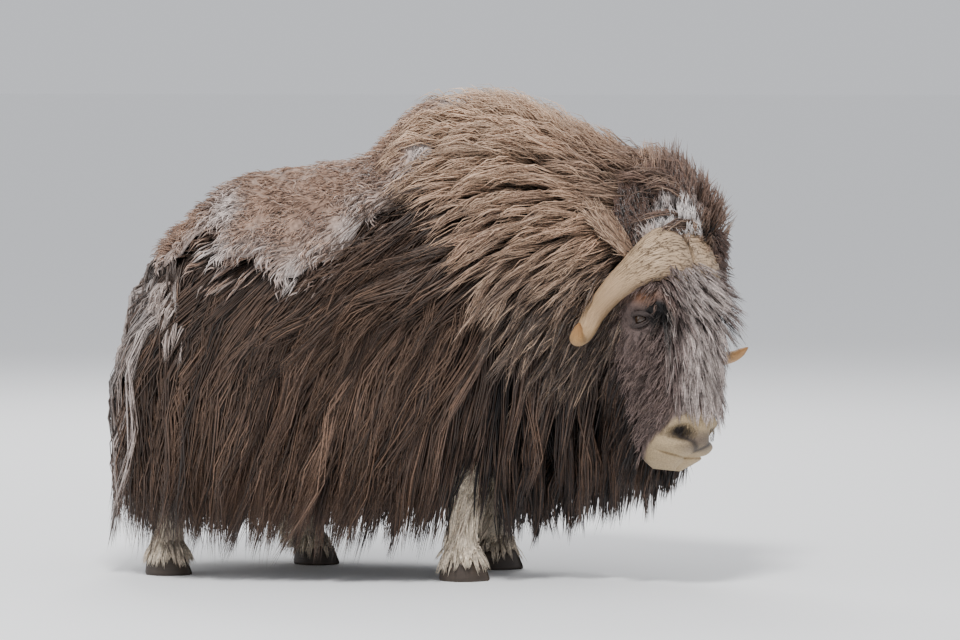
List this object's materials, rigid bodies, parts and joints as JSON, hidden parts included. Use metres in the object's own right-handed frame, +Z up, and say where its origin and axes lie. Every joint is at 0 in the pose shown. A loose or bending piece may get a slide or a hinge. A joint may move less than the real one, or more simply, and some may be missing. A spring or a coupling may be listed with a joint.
{
  "type": "muskox",
  "caption": "Life-size standing muskox bull with its head turned aside, a long coat hanging to its fetlocks, curved horns joined in a boss, and bare hooves.",
  "frame": {"origin": "on the floor under the middle of the whole model", "axes": "+X forward along the body, +Y to the animal's left, +Z up"},
  "size_m": [1.868, 0.8852, 1.4239],
  "materials": {
    "horn": "dull horn, polished towards the tips",
    "eye": "wet and dark",
    "face_hair": "short to shaggy dark hair, greyer in front",
    "mane": "long light brown hair",
    "back_wool": "loose felted wool",
    "guard_hair": "long dark brown hair",
    "leg_hair": "pale hair",
    "hoof": "dull dark horn"
  },
  "bodies": {
    "root": {"horn_right": "horn", "horn_left": "horn", "eye_right": "eye", "eye_left": "eye", "ear_right": "face_hair", "ear_left": "face_hair", "head": "face_hair", "neck": "mane", "tail": "guard_hair", "torso": "back_wool", "rump": "guard_hair", "flank_right": "guard_hair", "flank_left": "guard_hair", "hoof_front_right": "hoof", "hoof_front_left": "hoof", "hoof_hind_right": "hoof", "hoof_hind_left": "hoof", "leg_front_right": "leg_hair", "leg_front_left": "leg_hair", "leg_hind_right": "leg_hair", "leg_hind_left": "leg_hair"}
  },
  "joints": []
}
